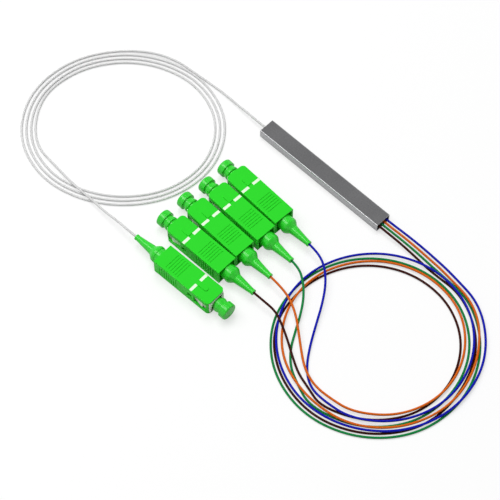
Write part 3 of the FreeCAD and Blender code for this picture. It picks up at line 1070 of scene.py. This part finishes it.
class SPLITTER_OT_grips(bpy.types.Operator):
    """Make the grips, with their ribs, windows and keys, and the white marks let into them"""

    bl_idname = "splitter.grips"
    bl_label = "Grips and marks"

    def execute(self, context):
        edge = context.scene.splitter_shells.edge
        green = kept_material(moulded_green)
        mark_height = GRIP_TOP + MARK_PROUD - MARK_SIZE[2] / 2.0
        for colour, (x, y, angle) in CONNECTORS.items():
            eased_copy(colour + "_grip", edge, green)
            marks = shape_from_tree(
                colour + "_marks", row_tree,
                {
                    "Count": 2,
                    "Size": tuple(length * MM for length in MARK_SIZE),
                    "First": (MARK_ALONG * MM, -MARK_ASIDE * MM, mark_height * MM),
                    "Last": (MARK_ALONG * MM, MARK_ASIDE * MM, mark_height * MM),
                    "Place": (x * MM, y * MM, 0.0),
                    "Turn": (0.0, 0.0, math.radians(angle)),
                },
                kept_material(printed_white),
            )
            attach(marks, colour + "_grip")
        return {"FINISHED"}


class SPLITTER_OT_plug_frames(bpy.types.Operator):
    """Make the plug frames that latch inside the grips"""

    bl_idname = "splitter.plug_frames"
    bl_label = "Plug frames"

    def execute(self, context):
        edge = context.scene.splitter_shells.edge
        white = kept_material(moulded_white)
        for colour in CONNECTORS:
            eased_copy(colour + "_plug_frame", edge, white)
        return {"FINISHED"}


class SPLITTER_OT_ferrules(bpy.types.Operator):
    """Make the ferrules, their collars and springs, and the rear bodies behind them"""

    bl_idname = "splitter.ferrules"
    bl_label = "Ferrules and springs"

    def execute(self, context):
        edge = context.scene.splitter_shells.fine_edge
        for colour, (x, y, angle) in CONNECTORS.items():
            eased_copy(colour + "_ferrule", edge, kept_material(ground_ceramic))
            for part in ("_ferrule_collar", "_rear_body"):
                eased_copy(colour + part, edge, kept_material(nickel_plate))
            place = connector_place(colour)
            rear = place @ Vector((SPRING_SEAT * MM, 0.0, AXIS_HEIGHT * MM))
            spring = shape_from_tree(
                colour + "_spring", coil_spring_tree,
                {
                    "Length": SPRING_LENGTH * MM,
                    "Mean Radius": SPRING_RADIUS * MM,
                    "Wire Radius": SPRING_WIRE * MM,
                    "Turns": SPRING_TURNS,
                    "Points": SPRING_POINTS,
                    "Place": tuple(rear),
                    "Turn": (0.0, 0.0, math.radians(angle)),
                },
                kept_material(drawn_wire),
            )
            seat(spring, colour + "_ferrule_spring")
            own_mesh(spring)
        return {"FINISHED"}


class SPLITTER_OT_boots_and_caps(bpy.types.Operator):
    """Make the tapered boots and the dust caps"""

    bl_idname = "splitter.boots_and_caps"
    bl_label = "Boots and dust caps"

    def execute(self, context):
        edge = context.scene.splitter_shells.fine_edge
        boot = kept_material(moulded_boot)
        cap = kept_material(moulded_cap)
        for colour in CONNECTORS:
            turned_piece(colour, "_boot", BOOT_OUTLINE, edge, boot)
            turned_piece(colour, "_dust_cap", CAP_OUTLINE, edge, cap)
        return {"FINISHED"}


# ---- Stage


def floor_material(share):
    """Matt white paper that keeps the object's shadow; this share of its white is glow.

    Its fibres, which are finer than would show, are drawn about 1 mm apart.
    """
    material, tree, out = new_material("Paper backdrop, matt white")
    place = add_node(tree, "ShaderNodeTexCoord")
    fibres = add_node(
        tree, "ShaderNodeTexNoise", sockets={"Scale": 900.0, "Detail": 2.0},
        links={"Vector": place.outputs["Object"]},
    )
    relief = add_node(
        tree, "ShaderNodeBump", sockets={"Strength": 0.4, "Distance": 0.02 * MM},
        links={"Height": fibres.outputs["Fac"]},
    )
    glow = add_node(tree, "ShaderNodeEmission", sockets={"Color": WHITE, "Strength": 1.0})
    rays = add_node(tree, "ShaderNodeLightPath")
    seen = add_node(
        tree, "ShaderNodeMath", {"operation": "MAXIMUM"},
        links={0: rays.outputs["Is Camera Ray"], 1: rays.outputs["Is Transmission Ray"]},
    )
    reflected = add_node(
        tree, "ShaderNodeMath", {"operation": "MULTIPLY"},
        {1: GLOW_REFLECTED}, {0: rays.outputs["Is Glossy Ray"]},
    )
    shown = add_node(
        tree, "ShaderNodeMath", {"operation": "MAXIMUM"},
        links={0: seen.outputs["Value"], 1: reflected.outputs["Value"]},
    )
    # The paper throws a little less light on the object than the camera sees on it.
    white = add_node(
        tree, "ShaderNodeMix", {"data_type": "RGBA"},
        sockets={6: (*linear("dcdcdc"), 1.0), 7: WHITE},
        links={0: seen.outputs["Value"]},
    )
    paper = add_node(
        tree, "ShaderNodeBsdfDiffuse",
        links={"Color": white.outputs[2], "Normal": relief.outputs["Normal"]},
    )
    part = add_node(
        tree, "ShaderNodeMath", {"operation": "MULTIPLY"}, {1: share}, {0: shown.outputs["Value"]}
    )
    mixed = add_node(
        tree, "ShaderNodeMixShader",
        links={0: part.outputs["Value"], 1: paper.outputs["BSDF"], 2: glow.outputs["Emission"]},
    )
    tree.links.new(mixed.outputs["Shader"], out.inputs["Surface"])
    return material


def light_room(scene, strength):
    """A room that lights the object evenly and is white to the camera.

    Reflections show it as pale walls under a grey ceiling.
    """
    world = bpy.data.worlds.new("Soft room")
    scene.world = world
    world.use_nodes = True
    tree = world.node_tree
    tree.nodes.clear()
    out = add_node(tree, "ShaderNodeOutputWorld")
    rays = add_node(tree, "ShaderNodeLightPath")
    place = add_node(tree, "ShaderNodeTexCoord")
    axes = add_node(tree, "ShaderNodeSeparateXYZ", links={0: place.outputs["Generated"]})
    walls = add_node(
        tree, "ShaderNodeMapRange", {"interpolation_type": "SMOOTHSTEP"},
        sockets={
            "From Min": WALL_UP_TO, "From Max": CEILING_FROM, "To Min": WALL, "To Max": CEILING
        },
        links={"Value": axes.outputs["Z"]},
    )
    reflected = add_node(
        tree, "ShaderNodeBackground", sockets={"Color": WHITE},
        links={"Strength": walls.outputs["Result"]},
    )
    fill = add_node(tree, "ShaderNodeBackground", sockets={"Color": WHITE, "Strength": strength})
    white = add_node(tree, "ShaderNodeBackground", sockets={"Color": WHITE, "Strength": 1.0})
    in_gloss = add_node(
        tree, "ShaderNodeMath", {"operation": "MAXIMUM"},
        links={0: rays.outputs["Is Glossy Ray"], 1: rays.outputs["Is Transmission Ray"]},
    )
    lit = add_node(
        tree, "ShaderNodeMixShader",
        links={
            0: in_gloss.outputs["Value"],
            1: fill.outputs["Background"],
            2: reflected.outputs["Background"],
        },
    )
    seen = add_node(
        tree, "ShaderNodeMixShader",
        links={
            0: rays.outputs["Is Camera Ray"],
            1: lit.outputs["Shader"],
            2: white.outputs["Background"],
        },
    )
    tree.links.new(seen.outputs["Shader"], out.inputs["Surface"])


def hang_lamp(name, target, way, distance, size, power):
    """A soft box at this distance from the target, this way, with its length along X."""
    away = Vector(way).normalized()
    across = (Vector((1.0, 0.0, 0.0)) - away * away.x).normalized()
    lamp = bpy.data.objects.new(name, bpy.data.lights.new(name, "AREA"))
    lamp.data.shape = "RECTANGLE"
    lamp.data.size, lamp.data.size_y = size
    lamp.data.energy = power
    bpy.context.scene.collection.objects.link(lamp)
    lamp.location = target + away * distance
    lamp.rotation_euler = Matrix((across, away.cross(across), away)).transposed().to_euler()
    return lamp


class SPLITTER_OT_stage(bpy.types.Operator):
    """Set up the camera, the soft lamps, the room and the white floor"""

    bl_idname = "splitter.stage"
    bl_label = "Stage"

    def execute(self, context):
        scene = context.scene
        settings = scene.splitter_stage
        scene.view_settings.view_transform = "Standard"
        camera = bpy.data.objects.new("Camera", bpy.data.cameras.new("Camera"))
        camera.data.lens = settings.lens
        camera.data.sensor_width = 36.0
        camera.data.clip_start = 0.01
        scene.collection.objects.link(camera)
        x, y = CAMERA_TARGET
        target = Vector((x * MM, y * MM, 0.0))
        camera.location = CAMERA_PLACE
        camera.rotation_euler = (target - camera.location).to_track_quat("-Z", "Y").to_euler()
        scene.camera = camera

        key = hang_lamp("Key lamp", target, *KEY_LAMP, settings.key_power)
        # It lights without a reflection of its own, so that flat steel stays evenly dark.
        key.visible_glossy = False
        hang_lamp("Strip lamp", target, *STRIP_LAMP, settings.strip_power)
        light_room(scene, settings.sky_strength)

        ground = bmesh.new()
        bmesh.ops.create_grid(ground, x_segments=1, y_segments=1, size=FLOOR_REACH)
        bmesh.ops.translate(ground, verts=ground.verts, vec=(0.0, 0.0, FLOOR_HEIGHT * MM))
        mesh = bpy.data.meshes.new("Floor")
        ground.to_mesh(mesh)
        ground.free()
        floor = link_piece("Floor", mesh, floor_material(settings.floor_share))
        return {"FINISHED"}


# ---- Sidebar and start


class SPLITTER_PT_panel(bpy.types.Panel):
    """Settings of the splitter and the steps that make it"""

    bl_idname = "SPLITTER_PT_panel"
    bl_label = "Fibre splitter"
    bl_space_type = "VIEW_3D"
    bl_region_type = "UI"
    bl_category = "Splitter"

    def draw(self, context):
        scene = context.scene
        for group in (scene.splitter_cords, scene.splitter_shells, scene.splitter_stage):
            box = self.layout.box()
            for name in group.__annotations__:
                box.prop(group, name)
        for step in STEPS:
            self.layout.operator(step.bl_idname)


STEPS = (
    SPLITTER_OT_stage,
    SPLITTER_OT_cords,
    SPLITTER_OT_module,
    SPLITTER_OT_grips,
    SPLITTER_OT_plug_frames,
    SPLITTER_OT_ferrules,
    SPLITTER_OT_boots_and_caps,
    SPLITTER_OT_declare_cords,
)
CLASSES = (
    SplitterCordSettings,
    SplitterShellSettings,
    SplitterStageSettings,
    *STEPS,
    SPLITTER_PT_panel,
)


def register():
    for kind in CLASSES:
        bpy.utils.register_class(kind)
    bpy.types.Scene.splitter_cords = bpy.props.PointerProperty(type=SplitterCordSettings)
    bpy.types.Scene.splitter_shells = bpy.props.PointerProperty(type=SplitterShellSettings)
    bpy.types.Scene.splitter_stage = bpy.props.PointerProperty(type=SplitterStageSettings)


def unregister():
    del bpy.types.Scene.splitter_stage
    del bpy.types.Scene.splitter_shells
    del bpy.types.Scene.splitter_cords
    for kind in reversed(CLASSES):
        bpy.utils.unregister_class(kind)


def main():
    register()
    bpy.ops.splitter.stage()
    bpy.ops.splitter.cords()
    bpy.ops.splitter.module()
    bpy.ops.splitter.grips()
    bpy.ops.splitter.plug_frames()
    bpy.ops.splitter.ferrules()
    bpy.ops.splitter.boots_and_caps()
    bpy.ops.splitter.declare_cords()


if __name__ == "__main__":
    main()
